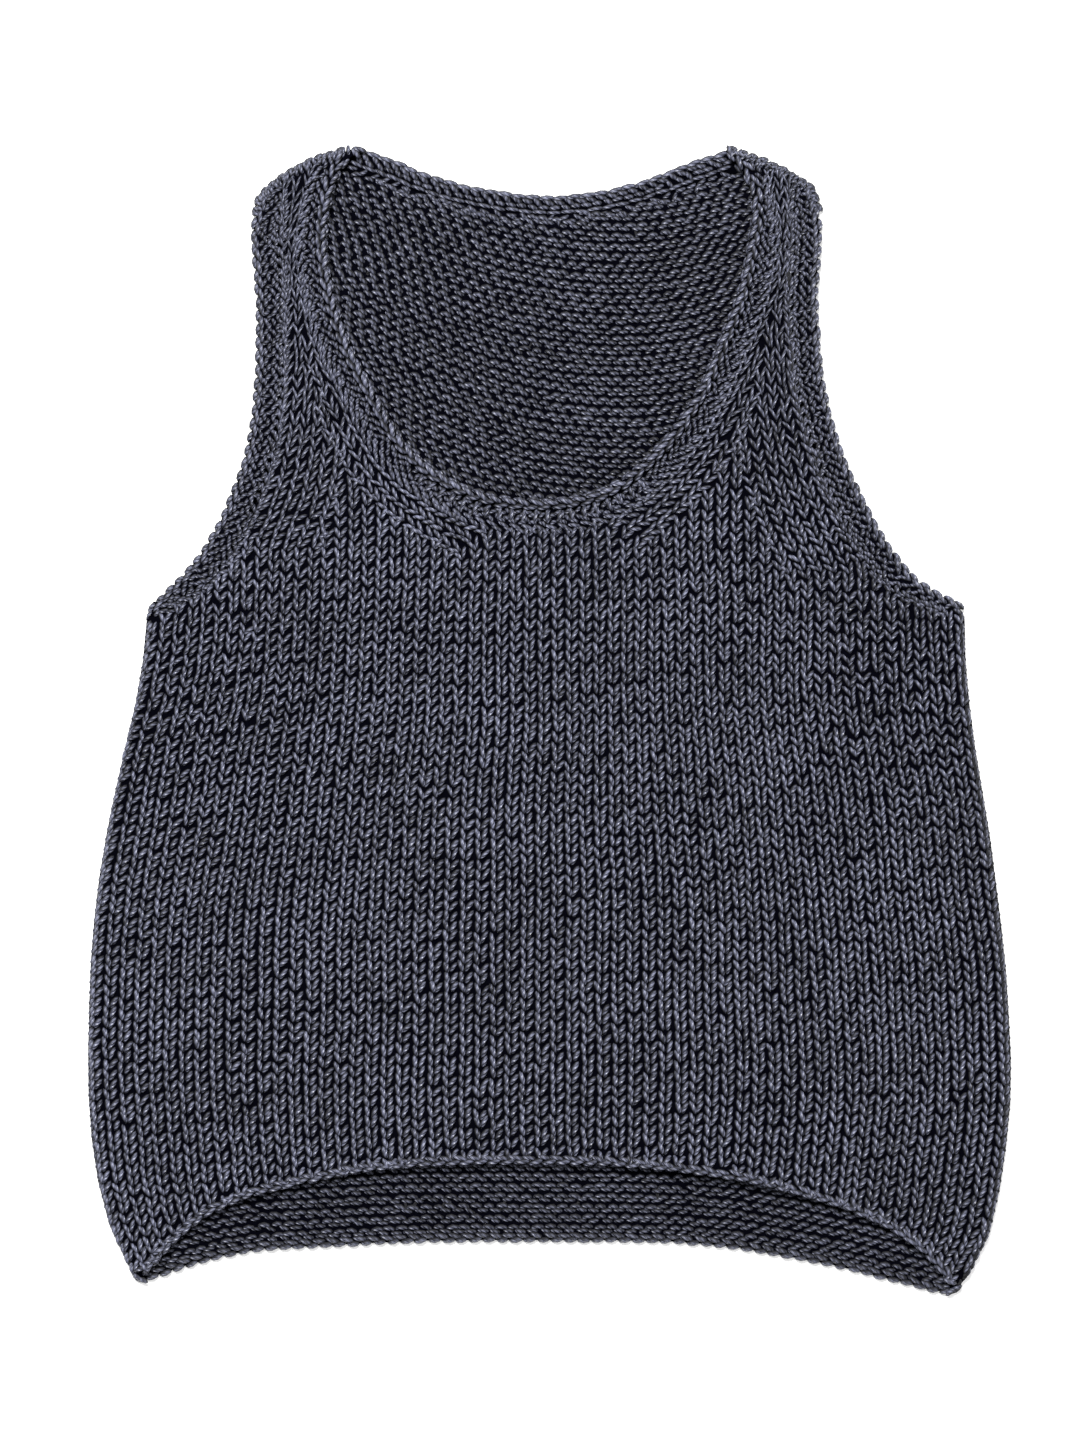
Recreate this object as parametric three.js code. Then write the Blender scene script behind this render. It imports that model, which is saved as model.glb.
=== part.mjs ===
// Knitted sweater vest, laid flat with its front up.
// Millimetres, +Z up. The back's outside rests on z = 0 and the origin is the middle of the footprint.
import * as THREE from 'three';

// Driving sizes
const WALL = 3;             // one layer of the knitted cloth
const SEAM_GAP = 0.3;       // between neighbouring pieces
const FOLD_INSET = WALL + SEAM_GAP / 2;   // from a fold's outline to the line it turns about
const EDGE_RISE = 0.9;      // height of a turned edge at its outline, over the fold line
const UNDERARM_Y = 51.5;    // where the side ends and the armhole band begins
const HALF_GAP = SEAM_GAP / 2;

// Grid of a panel: rows from the hem up, columns from the side to the middle
const LOWER_ROWS = 15;
const NECK_ROWS = 18;
const FRONT_MIDDLE_ROWS = 4;
const BACK_MIDDLE_ROWS = 13;
const ARMHOLE_ROWS = FRONT_MIDDLE_ROWS + NECK_ROWS;
const INNER_COLUMNS = 9;
const COLUMN_CROWDING = 1.4;   // over 1, the columns are closer near the side
const FOLD_STEPS = 4;
const ARMHOLE_TURN = 25;    // the last stretch of a band, where its sections turn to meet a fold
const NECK_TURN = 48;

// Outline from the hem corners up to the shoulder corners
const SIDES = [
  { y: -289, left: -199, right: 200.5 },
  { y: -282, left: -204.5, right: 206.5 },
  { y: -275, left: -210, right: 213 },
  { y: -260, left: -218, right: 219.5 },
  { y: -240, left: -224, right: 224.5 },
  { y: -220, left: -228.25, right: 227.75 },
  { y: -195, left: -230.5, right: 230.5 },
  { y: -178, left: -231.25, right: 231.25 },
  { y: -160, left: -231, right: 230.5 },
  { y: -125, left: -230, right: 228.5 },
  { y: -90, left: -227, right: 224.5 },
  { y: -55, left: -221.5, right: 220 },
  { y: -20, left: -214, right: 214 },
  { y: 10, left: -207, right: 210 },
  { y: 35, left: -203, right: 208 },
  { y: UNDERARM_Y, left: -201.25, right: 207.5 },
];

// Free edge of the armhole bands, underarm to shoulder
const ARMHOLES = [
  { y: 65, left: -192, right: 191.5 },
  { y: 72, left: -184.5, right: 182.5 },
  { y: 80, left: -177.5, right: 175.5 },
  { y: 95, left: -168, right: 165.5 },
  { y: 110, left: -161, right: 158 },
  { y: 125, left: -155, right: 150.5 },
  { y: 140, left: -151, right: 145 },
  { y: 155, left: -149, right: 140.5 },
  { y: 170, left: -147.5, right: 137.5 },
  { y: 190, left: -147, right: 135.5 },
  { y: 210, left: -147, right: 134.5 },
  { y: 230, left: -148.5, right: 135.5 },
  { y: 246, left: -149.5, right: 136.5 },
];

// Free edge of the neckband on the front, shoulder to lowest row
const NECK_FRONT = [
  { y: 276, left: -103.5, right: 94.5 },
  { y: 265, left: -107.5, right: 100 },
  { y: 251, left: -110.5, right: 101 },
  { y: 237, left: -111, right: 98.5 },
  { y: 221, left: -109, right: 95.5 },
  { y: 204, left: -105, right: 90.5 },
  { y: 188, left: -99.5, right: 83.5 },
  { y: 174, left: -92.5, right: 78 },
  { y: 159, left: -84, right: 70 },
  { y: 143, left: -75, right: 59 },
  { y: 130, left: -63.5, right: 46.5 },
  { y: 119, left: -46, right: 33 },
  { y: 113, left: -30, right: 17 },
];
const NECK_FRONT_LOWEST = { x: 0, y: 110.8 };

// Free edge of the neckband on the back, left to right
const NECK_BACK = [
  { x: -76, y: 280 },
  { x: -62, y: 273.5 },
  { x: -47.5, y: 269.3 },
  { x: -29, y: 265.3 },
  { x: -14, y: 263.3 },
  { x: 0, y: 262.3 },
  { x: 24, y: 264.6 },
  { x: 44.5, y: 269.3 },
  { x: 58.5, y: 274.3 },
  { x: 71, y: 279.3 },
];

// Shoulder outline: armhole corner, armhole band seam, neckband seam, neck edge
const SHOULDERS = {
  left: [
    { x: -147.6, y: 260 },
    { x: -136, y: 270.5 },
    { x: -118, y: 280.5 },
    { x: -94, y: 288.25 },
  ],
  right: [
    { x: 134.5, y: 264 },
    { x: 123.5, y: 271.5 },
    { x: 108, y: 279.5 },
    { x: 88, y: 287 },
  ],
};

// Underarm fold: seam end and free end of the band
const UNDERARMS = {
  left: [{ x: -201.25, y: UNDERARM_Y }, { x: -200, y: 60 }],
  right: [{ x: 207.5, y: UNDERARM_Y }, { x: 206.5, y: 60 }],
};

// Hem edges
const HEM_FRONT = [
  { x: -207, y: -282.5 },
  { x: -200, y: -276.5 },
  { x: -188, y: -263 },
  { x: -175, y: -251 },
  { x: -161, y: -243 },
  { x: -141, y: -237 },
  { x: -114, y: -230.5 },
  { x: -90, y: -226.3 },
  { x: -41, y: -222.8 },
  { x: 0, y: -222.8 },
  { x: 35, y: -223.8 },
  { x: 75, y: -227.8 },
  { x: 95, y: -230.8 },
  { x: 116, y: -235.8 },
  { x: 136, y: -241.8 },
  { x: 156, y: -248.3 },
  { x: 169, y: -254.8 },
  { x: 183, y: -264.3 },
  { x: 193, y: -273.8 },
  { x: 201, y: -285 },
  { x: 207, y: -288 },
];
const HEM_BACK = [
  { x: -207, y: -283 },
  { x: -199, y: -280.3 },
  { x: -181, y: -274.3 },
  { x: -160, y: -268.8 },
  { x: -141, y: -265.8 },
  { x: -101, y: -264 },
  { x: -74, y: -262.3 },
  { x: -35, y: -261.8 },
  { x: 35, y: -261.8 },
  { x: 62, y: -262.5 },
  { x: 86, y: -264.3 },
  { x: 110, y: -268.3 },
  { x: 142, y: -274.3 },
  { x: 162, y: -279.3 },
  { x: 183, y: -284.3 },
  { x: 196, y: -287.8 },
  { x: 207, y: -288.25 },
];

// Width of the bands by the share of the way along them
const ARMHOLE_BAND_WIDTH = [
  { at: 0, width: 9 },
  { at: 0.1, width: 12.5 },
  { at: 0.3, width: 13.5 },
  { at: 1, width: 13.5 },
];
const NECKBAND_FRONT_WIDTH = [
  { at: 0, width: 14 },
  { at: 0.25, width: 14 },
  { at: 0.5, width: 15.5 },
  { at: 0.75, width: 14 },
  { at: 1, width: 14 },
];
const NECKBAND_BACK_WIDTH = [
  { at: 0, width: 14 },
  { at: 0.15, width: 10 },
  { at: 0.85, width: 10 },
  { at: 1, width: 14 },
];

// Soft swellings where the front lifts off the back
const WAVES = [
  { x: 0, y: -20, reachX: 95, reachY: 130, height: 1.2 },
  { x: 95, y: -236, reachX: 55, reachY: 22, height: 2.2 },
  { x: -75, y: -230, reachX: 50, reachY: 20, height: 1.0 },
  { x: -5, y: 98, reachX: 55, reachY: 20, height: 1.2 },
];
const WAVE_FADE = 45;       // no lift at the side, all of it this far in

// Cast-on lip of a hem: distance from the edge and height over the wall
const HEM_LIP = [
  { from: 0, raised: -0.7 },
  { from: 1.2, raised: 0.7 },
  { from: 3.5, raised: 1.1 },
  { from: 6.5, raised: 0 },
];

// Sections of the bands: place across from the seam or the free edge,
// and height over the inner face on the front and on the back
const ARMHOLE_SECTION = [
  { from: 'seam', across: HALF_GAP, front: 0, back: 0 },
  { from: 'seam', across: HALF_GAP, front: 3, back: 3 },
  { from: 'seam', across: 1.8, front: 4, back: 3 },
  { from: 'seam', across: 3.6, front: 3, back: 3 },
  { from: 'free', across: 2.6, front: 3, back: 3 },
  { from: 'free', across: 0, front: 1.9, back: 1.9 },
  { from: 'free', across: 0.6, front: 0.6, back: 0.6 },
  { from: 'free', across: 2.6, front: 0, back: 0 },
];
const NECKBAND_SECTION = [
  { from: 'seam', across: HALF_GAP, front: 0, back: 0 },
  { from: 'seam', across: HALF_GAP, front: 3.2, back: 3 },
  { from: 'seam', across: 1.8, front: 4.2, back: 3 },
  { from: 'seam', across: 3.4, front: 3, back: 3 },
  { from: 'free', across: 6.2, front: 3, back: 3 },
  { from: 'free', across: 4.8, front: 4.9, back: 3 },
  { from: 'free', across: 2.6, front: 5.4, back: 3 },
  { from: 'free', across: 0.5, front: 4.2, back: 2.4 },
  { from: 'free', across: 0, front: 2.4, back: 1.2 },
  { from: 'free', across: 0.8, front: 0.7, back: -0.4 },
  { from: 'free', across: 3, front: 0, back: -1 },
  { from: 'free', across: 5.2, front: 0, back: 0 },
];

const YARN = { color: 0x3d3e49, roughness: 0.62, metalness: 0 };
const YARN_INSIDE = { color: 0x373842, roughness: 0.68, metalness: 0 };

// Reads a table between its rows by a monotone cubic, so that nothing overshoots a row
function readTable(table, key, value, at) {
  const rows = table[0][key] < table[table.length - 1][key] ? table : [...table].reverse();
  const last = rows.length - 1;
  if (at <= rows[0][key]) return rows[0][value];
  if (at >= rows[last][key]) return rows[last][value];
  const slope = (i) => (rows[i + 1][value] - rows[i][value]) / (rows[i + 1][key] - rows[i][key]);
  const tangent = (i) => {
    if (i === 0) return slope(0);
    if (i === last) return slope(last - 1);
    const before = slope(i - 1);
    const after = slope(i);
    return before * after <= 0 ? 0 : (2 * before * after) / (before + after);
  };
  let i = 0;
  while (rows[i + 1][key] < at) i += 1;
  const span = rows[i + 1][key] - rows[i][key];
  const t = (at - rows[i][key]) / span;
  const start = (1 + 2 * t) * (1 - t) ** 2 * rows[i][value] + t * (1 - t) ** 2 * span * tangent(i);
  const end = t * t * (3 - 2 * t) * rows[i + 1][value] + t * t * (t - 1) * span * tangent(i + 1);
  return start + end;
}

function smooth(t) {
  const c = Math.min(1, Math.max(0, t));
  return c * c * (3 - 2 * c);
}

function mix(a, b, t) {
  return a + (b - a) * t;
}

function mixPoint(a, b, t) {
  return { x: mix(a.x, b.x, t), y: mix(a.y, b.y, t) };
}

function moved(point, direction, distance) {
  return { x: point.x + direction.x * distance, y: point.y + direction.y * distance };
}

// A place part way between the points of a list
function pointAt(points, place) {
  const i = Math.min(points.length - 2, Math.floor(place));
  return mixPoint(points[i], points[i + 1], place - i);
}

function directionFrom(a, b) {
  const length = Math.hypot(b.x - a.x, b.y - a.y);
  return { x: (b.x - a.x) / length, y: (b.y - a.y) / length };
}

function smoothCurve(points) {
  return new THREE.CatmullRomCurve3(points.map((p) => new THREE.Vector3(p.x, p.y, 0)), false, 'centripetal');
}

// Even steps along a smooth curve
function alongCurve(points, steps) {
  const curve = smoothCurve(points);
  curve.arcLengthDivisions = 800;
  return curve.getSpacedPoints(steps).map((p) => ({ x: p.x, y: p.y }));
}

// The same number of steps from one of the points to each end
function alongHalves(points, middle) {
  const whole = smoothCurve(points);
  const traced = (end) => Array.from({ length: 200 }, (_, i) => (
    whole.getPoint(mix(middle, end, i / 199) / (points.length - 1))
  ));
  const toStart = alongCurve(traced(0), NECK_ROWS);
  const toEnd = alongCurve(traced(points.length - 1), NECK_ROWS);
  return [...toStart.reverse(), ...toEnd.slice(1)];
}

// How far the front layer stands off the back layer
function lift(x, y) {
  const side = x < 0 ? -readTable(SIDES, 'y', 'left', y) : readTable(SIDES, 'y', 'right', y);
  const fade = smooth((side - Math.abs(x)) / WAVE_FADE);
  const swell = (w) => w.height * Math.exp(-(((x - w.x) / w.reachX) ** 2) - ((y - w.y) / w.reachY) ** 2);
  return fade * WAVES.reduce((sum, w) => sum + swell(w), 0);
}

// A fold line lies inside its outline, and each of its points has its own outward direction
function foldLine(outline, inside) {
  const normals = outline.slice(1).map((point, i) => {
    const along = directionFrom(outline[i], point);
    const normal = { x: -along.y, y: along.x };
    const towards = (inside.x - point.x) * normal.x + (inside.y - point.y) * normal.y;
    return towards < 0 ? normal : { x: -normal.x, y: -normal.y };
  });
  return outline.map((point, i) => {
    const before = normals[Math.max(0, i - 1)];
    const after = normals[Math.min(normals.length - 1, i)];
    const outward = directionFrom({ x: 0, y: 0 }, { x: before.x + after.x, y: before.y + after.y });
    return { ...moved(point, outward, -FOLD_INSET), outward };
  });
}

const CHEST = { x: 0, y: 0 };
const SHOULDER_FOLDS = {
  left: foldLine(SHOULDERS.left, CHEST),
  right: foldLine(SHOULDERS.right, CHEST),
};
const UNDERARM_FOLDS = {
  left: UNDERARMS.left.map((p) => ({ x: p.x + FOLD_INSET, y: p.y, outward: { x: -1, y: 0 } })),
  right: UNDERARMS.right.map((p) => ({ x: p.x - FOLD_INSET, y: p.y, outward: { x: 1, y: 0 } })),
};

// Stations of a band. The seam edge lies square off the free edge by the band's width,
// and over the last stretch at both ends it is led to the fold.
function bandStations(free, widths, startSeam, endSeam, turn, stretch) {
  const last = free.length - 1;
  const lengths = free.map(() => 0);
  for (let i = 1; i <= last; i += 1) {
    lengths[i] = lengths[i - 1] + Math.hypot(free[i].x - free[i - 1].x, free[i].y - free[i - 1].y);
  }
  const squareOff = (i) => {
    const along = directionFrom(free[i - 1], free[i + 1]);
    const width = readTable(widths, 'at', 'width', i / last);
    return moved(free[i], { x: -along.y * turn, y: along.x * turn }, width);
  };
  const first = lengths.findIndex((length) => length >= stretch);
  const final = lengths.findLastIndex((length) => lengths[last] - length >= stretch);
  const points = [startSeam];
  for (let i = first; i <= final; i += 1) points.push(squareOff(i));
  points.push(endSeam);
  const curve = smoothCurve(points);
  return free.map((point, i) => {
    let place = i - first + 1;
    if (i < first) place = i / first;
    if (i > final) place = points.length - 1 - (last - i) / (last - final);
    const seam = curve.getPoint(place / (points.length - 1));
    return { free: point, seam: { x: seam.x, y: seam.y } };
  });
}

function armholeStations(side) {
  const turn = side === 'left' ? -1 : 1;
  const [seamLow, freeLow] = UNDERARM_FOLDS[side];
  const [freeHigh, seamHigh] = SHOULDER_FOLDS[side];
  const edge = [freeLow, ...ARMHOLES.map((row) => ({ x: row[side], y: row.y })), freeHigh];
  return bandStations(alongCurve(edge, ARMHOLE_ROWS), ARMHOLE_BAND_WIDTH, seamLow, seamHigh, turn, ARMHOLE_TURN);
}

// Stations of the neckband on one layer, from the left shoulder to the right one
function neckStations(edge, lowest, widths) {
  const [, , leftSeam, leftFree] = SHOULDER_FOLDS.left;
  const [, , rightSeam, rightFree] = SHOULDER_FOLDS.right;
  const free = alongHalves([leftFree, ...edge, rightFree], lowest + 1);
  const stations = bandStations(free, widths, leftSeam, rightSeam, -1, NECK_TURN);
  stations[NECK_ROWS].seam.x = 0;
  return stations;
}

function neckFrontStations() {
  const down = NECK_FRONT.map((row) => ({ x: row.left, y: row.y }));
  const up = [...NECK_FRONT].reverse().map((row) => ({ x: row.right, y: row.y }));
  return neckStations([...down, NECK_FRONT_LOWEST, ...up], down.length, NECKBAND_FRONT_WIDTH);
}

function neckBackStations() {
  return neckStations(NECK_BACK, NECK_BACK.findIndex((p) => p.x === 0), NECKBAND_BACK_WIDTH);
}

// A plan of points and faces. Points at the same place are one point.
class Plan {
  constructor() {
    this.points = [];
    this.faces = [];
    this.places = new Map();
  }

  point(p) {
    const place = `${Math.round(p.x * 1000)} ${Math.round(p.y * 1000)}`;
    if (!this.places.has(place)) {
      this.places.set(place, this.points.length);
      this.points.push(p);
    }
    return this.places.get(place);
  }

  face(a, b, c) {
    if (a === b || b === c || c === a) return;
    const [p, q, r] = [this.points[a], this.points[b], this.points[c]];
    const area = (q.x - p.x) * (r.y - p.y) - (r.x - p.x) * (q.y - p.y);
    if (area > 0) this.faces.push([a, b, c]);
    if (area < 0) this.faces.push([a, c, b]);
  }

  addRows(rows) {
    const grid = rows.map((row) => row.map((p) => this.point(p)));
    for (let i = 1; i < grid.length; i += 1) {
      for (let j = 1; j < grid[i].length; j += 1) {
        this.face(grid[i - 1][j - 1], grid[i][j - 1], grid[i][j]);
        this.face(grid[i - 1][j - 1], grid[i][j], grid[i - 1][j]);
      }
    }
  }
}

// The closed wall between an upper and a lower height over a plan
function wallOver(plan, upper, lower) {
  const count = plan.points.length;
  const corners = [];
  for (const height of [upper, lower]) {
    for (const p of plan.points) corners.push(p.x, p.y, height(p));
  }
  const index = [];
  const edges = new Set(plan.faces.flatMap(([a, b, c]) => [`${a} ${b}`, `${b} ${c}`, `${c} ${a}`]));
  for (const [a, b, c] of plan.faces) {
    index.push(a, b, c, count + c, count + b, count + a);
    for (const [from, to] of [[a, b], [b, c], [c, a]]) {
      if (edges.has(`${to} ${from}`)) continue;
      index.push(from, count + from, count + to, from, count + to, to);
    }
  }
  const geometry = new THREE.BufferGeometry();
  geometry.setAttribute('position', new THREE.Float32BufferAttribute(corners, 3));
  geometry.setIndex(index);
  geometry.computeVertexNormals();
  return geometry;
}

// Places across a row, from its outer end to its inner end
function acrossRow(outer, inner, marks) {
  const length = Math.hypot(inner.x - outer.x, inner.y - outer.y);
  const along = directionFrom(outer, inner);
  const first = marks[marks.length - 1];
  const row = marks.map((distance) => ({ ...moved(outer, along, distance), fold: distance }));
  for (let j = 1; j <= INNER_COLUMNS; j += 1) {
    const distance = mix(first, length, (j / INNER_COLUMNS) ** COLUMN_CROWDING);
    row.push({ ...moved(outer, along, distance), fold: FOLD_INSET });
  }
  return row;
}

// Body of a panel below the underarm. Each column is one wale line, and starts at the hem.
function lowerRows(side, hem) {
  const top = UNDERARM_Y - HALF_GAP;
  const marks = [0, 0.3 * FOLD_INSET, FOLD_INSET];
  const place = (column, y) => {
    const outer = { x: readTable(SIDES, 'y', side, y), y };
    return acrossRow(outer, { x: 0, y }, marks)[column];
  };
  const hemHeight = (column) => {
    let low = -292;
    let high = -200;
    for (let step = 0; step < 30; step += 1) {
      const middle = (low + high) / 2;
      if (middle < readTable(hem, 'x', 'y', place(column, middle).x)) low = middle;
      else high = middle;
    }
    return low;
  };
  const columns = marks.length + INNER_COLUMNS;
  const starts = Array.from({ length: columns }, (_, column) => hemHeight(column));
  const rows = HEM_LIP.map(({ from, raised }) => starts.map((start, column) => (
    { ...place(column, start + from), raised }
  )));
  for (let i = 1; i <= LOWER_ROWS; i += 1) {
    rows.push(starts.map((start, column) => (
      place(column, mix(start + HEM_LIP[HEM_LIP.length - 1].from, top, i / LOWER_ROWS))
    )));
  }
  return rows;
}

// Body of a panel from the underarm to the shoulder, between the armhole seam and the middle or neck seam
function upperRows(side, neckSeam, middleRows) {
  const bands = armholeStations(side);
  const inwards = (station) => moved(station.seam, directionFrom(station.free, station.seam), HALF_GAP);
  const outerPath = bands.map(inwards);
  const low = { x: 0, y: UNDERARM_Y - HALF_GAP };
  const edge = readTable(SIDES, 'y', side, low.y);
  outerPath[0] = { x: edge - Math.sign(edge) * FOLD_INSET, y: low.y };
  const rise = Array.from({ length: middleRows }, (_, i) => mixPoint(low, neckSeam[0], i / middleRows));
  const neckRows = ARMHOLE_ROWS - middleRows;
  const neckPath = Array.from({ length: neckRows + 1 }, (_, i) => pointAt(neckSeam, (i / neckRows) * NECK_ROWS));
  const innerPath = [...rise, ...neckPath];
  const rows = outerPath.map((outer, i) => acrossRow(outer, innerPath[i], [0]));
  const [, bandEnd, neckEnd] = SHOULDER_FOLDS[side];
  for (const share of [0.7, 1]) {
    const radius = share * FOLD_INSET;
    const outer = moved(outerPath[outerPath.length - 1], bandEnd.outward, radius);
    const inner = moved(neckSeam[neckSeam.length - 1], neckEnd.outward, radius);
    rows.push(acrossRow(outer, inner, [0]).map((p) => ({ ...p, fold: FOLD_INSET - radius })));
  }
  return rows;
}

function panelPlan(hem, neckStations, middleRows) {
  const seam = neckStations.map((s) => moved(s.seam, directionFrom(s.free, s.seam), HALF_GAP));
  const neckSeams = {
    left: seam.slice(0, NECK_ROWS + 1).reverse(),
    right: seam.slice(NECK_ROWS),
  };
  const plan = new Plan();
  for (const side of ['left', 'right']) {
    plan.addRows(lowerRows(side, hem));
    plan.addRows(upperRows(side, neckSeams[side], middleRows));
  }
  return plan;
}

// Height of a turned edge over its fold line
function foldRise(distance) {
  const missing = FOLD_INSET - Math.min(distance, FOLD_INSET);
  return Math.max(EDGE_RISE, Math.sqrt(FOLD_INSET ** 2 - missing ** 2));
}

function frontPanel() {
  const plan = panelPlan(HEM_FRONT, neckFrontStations(), FRONT_MIDDLE_ROWS);
  const lower = (p) => WALL + SEAM_GAP + lift(p.x, p.y);
  const lip = (p) => (p.raised ?? 0) * (foldRise(p.fold) / FOLD_INSET);
  const upper = (p) => FOLD_INSET + foldRise(p.fold) + lip(p) + lift(p.x, p.y);
  return wallOver(plan, upper, lower);
}

function backPanel() {
  const plan = panelPlan(HEM_BACK, neckBackStations(), BACK_MIDDLE_ROWS);
  const uncovered = (x) => readTable(HEM_FRONT, 'x', 'y', x) - readTable(HEM_BACK, 'x', 'y', x);
  const lip = (p) => Math.max(0, p.raised ?? 0) * smooth((uncovered(p.x) - 8) / 8);
  const lower = (p) => FOLD_INSET - foldRise(p.fold);
  const upper = (p) => WALL + lip(p);
  return wallOver(plan, upper, lower);
}

// Places of one section of a band, turned by an angle about the fold line
function bandSection(station, section, angle, rolled) {
  const across = directionFrom(station.seam, station.free);
  const width = Math.hypot(station.free.x - station.seam.x, station.free.y - station.seam.y);
  const share = angle / Math.PI;
  return section.map((row) => {
    const distance = row.from === 'seam' ? row.across : width - row.across;
    const plain = Math.min(WALL, Math.max(0, row.front));
    const front = mix(plain, row.front, rolled);
    const back = mix(Math.max(0, row.back), row.back, rolled);
    const height = mix(front, back, share);
    const place = moved(station.seam, across, distance);
    const radius = HALF_GAP + height;
    const outward = station.outward
      ? directionFrom({ x: 0, y: 0 }, mixPoint(station.outward[0], station.outward[1], distance / width))
      : { x: 0, y: 0 };
    const turned = moved(place, outward, radius * Math.sin(angle));
    const off = angle === 0 ? lift(place.x, place.y) : 0;
    return new THREE.Vector3(turned.x, turned.y, FOLD_INSET + radius * Math.cos(angle) + off);
  });
}

function foldSections(seamEnd, freeEnd, section, towardsBack) {
  const station = { seam: seamEnd, free: freeEnd, outward: [seamEnd.outward, freeEnd.outward] };
  const angles = Array.from({ length: FOLD_STEPS - 1 }, (_, i) => (Math.PI * (i + 1)) / FOLD_STEPS);
  if (!towardsBack) angles.reverse();
  return angles.map((angle) => bandSection(station, section, angle, 0));
}

// A closed ring through its sections
function ringThrough(sections) {
  const size = sections[0].length;
  const corners = sections.flat().flatMap((p) => [p.x, p.y, p.z]);
  const index = [];
  for (let i = 0; i < sections.length; i += 1) {
    const next = (i + 1) % sections.length;
    for (let j = 0; j < size; j += 1) {
      const k = (j + 1) % size;
      index.push(i * size + j, next * size + j, next * size + k);
      index.push(i * size + j, next * size + k, i * size + k);
    }
  }
  if (signedVolume(corners, index) < 0) index.reverse();
  const geometry = new THREE.BufferGeometry();
  geometry.setAttribute('position', new THREE.Float32BufferAttribute(corners, 3));
  geometry.setIndex(index);
  geometry.computeVertexNormals();
  return geometry;
}

function signedVolume(corners, index) {
  const at = (i) => new THREE.Vector3(corners[3 * i], corners[3 * i + 1], corners[3 * i + 2]);
  let volume = 0;
  for (let i = 0; i < index.length; i += 3) {
    volume += at(index[i]).dot(at(index[i + 1]).cross(at(index[i + 2]))) / 6;
  }
  return volume;
}

// The roll of an edge dies out towards the folds at both ends of a band
function rollAt(i, count) {
  const share = i / (count - 1);
  return smooth(Math.min(share, 1 - share) / 0.14);
}

function armholeBand(side) {
  const stations = armholeStations(side);
  const count = stations.length;
  const [seamLow, freeLow] = UNDERARM_FOLDS[side];
  const [freeHigh, seamHigh] = SHOULDER_FOLDS[side];
  const front = stations.map((s, i) => bandSection(s, ARMHOLE_SECTION, 0, rollAt(i, count)));
  const back = stations.map((s, i) => bandSection(s, ARMHOLE_SECTION, Math.PI, rollAt(i, count)));
  return ringThrough([
    ...front,
    ...foldSections(seamHigh, freeHigh, ARMHOLE_SECTION, true),
    ...back.reverse(),
    ...foldSections(seamLow, freeLow, ARMHOLE_SECTION, false),
  ]);
}

function neckband() {
  const frontStations = neckFrontStations();
  const backStations = neckBackStations();
  const [, , leftSeam, leftFree] = SHOULDER_FOLDS.left;
  const [, , rightSeam, rightFree] = SHOULDER_FOLDS.right;
  const frontCount = frontStations.length;
  const backCount = backStations.length;
  const front = frontStations.map((s, i) => bandSection(s, NECKBAND_SECTION, 0, rollAt(i, frontCount)));
  const back = backStations.map((s, i) => bandSection(s, NECKBAND_SECTION, Math.PI, rollAt(i, backCount)));
  return ringThrough([
    ...front,
    ...foldSections(rightSeam, rightFree, NECKBAND_SECTION, true),
    ...back.reverse(),
    ...foldSections(leftSeam, leftFree, NECKBAND_SECTION, false),
  ]);
}

function piece(name, geometry, finish) {
  const mesh = new THREE.Mesh(geometry, new THREE.MeshStandardMaterial(finish));
  mesh.name = name;
  return mesh;
}

const vest = new THREE.Group();
vest.add(piece('back_panel', backPanel(), YARN_INSIDE));
vest.add(piece('front_panel', frontPanel(), YARN));
vest.add(piece('neckband', neckband(), YARN));
vest.add(piece('armhole_band_left', armholeBand('left'), YARN));
vest.add(piece('armhole_band_right', armholeBand('right'), YARN));

// The tables are read off the outline, so the middle of the footprint is set here
const middle = new THREE.Box3().setFromObject(vest).getCenter(new THREE.Vector3());
vest.position.set(-middle.x, -middle.y, 0);

export default vest;
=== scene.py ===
# Knitted sweater vest, laid flat with its front up: every stitch that shows is a length of yarn.
# The yarn is laid in millimetres on the surfaces of the frame's nodes, and made in metres.
# A wale is a column of stitches, and a row runs across the wales.
import math

import bmesh
import bpy
import numpy as np
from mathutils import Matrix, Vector
from mathutils.bvhtree import BVHTree


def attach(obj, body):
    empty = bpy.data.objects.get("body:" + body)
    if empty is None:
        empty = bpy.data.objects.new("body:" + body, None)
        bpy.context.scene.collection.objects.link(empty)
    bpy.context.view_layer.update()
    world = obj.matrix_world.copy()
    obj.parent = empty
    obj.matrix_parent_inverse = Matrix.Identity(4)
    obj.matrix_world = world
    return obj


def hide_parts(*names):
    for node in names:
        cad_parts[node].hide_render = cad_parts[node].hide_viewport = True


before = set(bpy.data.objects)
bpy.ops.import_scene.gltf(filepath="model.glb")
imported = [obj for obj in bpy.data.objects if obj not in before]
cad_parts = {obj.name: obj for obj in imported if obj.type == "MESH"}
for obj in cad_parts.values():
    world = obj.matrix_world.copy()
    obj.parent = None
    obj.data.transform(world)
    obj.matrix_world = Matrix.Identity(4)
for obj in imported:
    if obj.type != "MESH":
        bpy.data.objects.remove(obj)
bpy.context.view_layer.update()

MM = 0.001
SEED = 9877
rng = np.random.default_rng(SEED)

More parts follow.
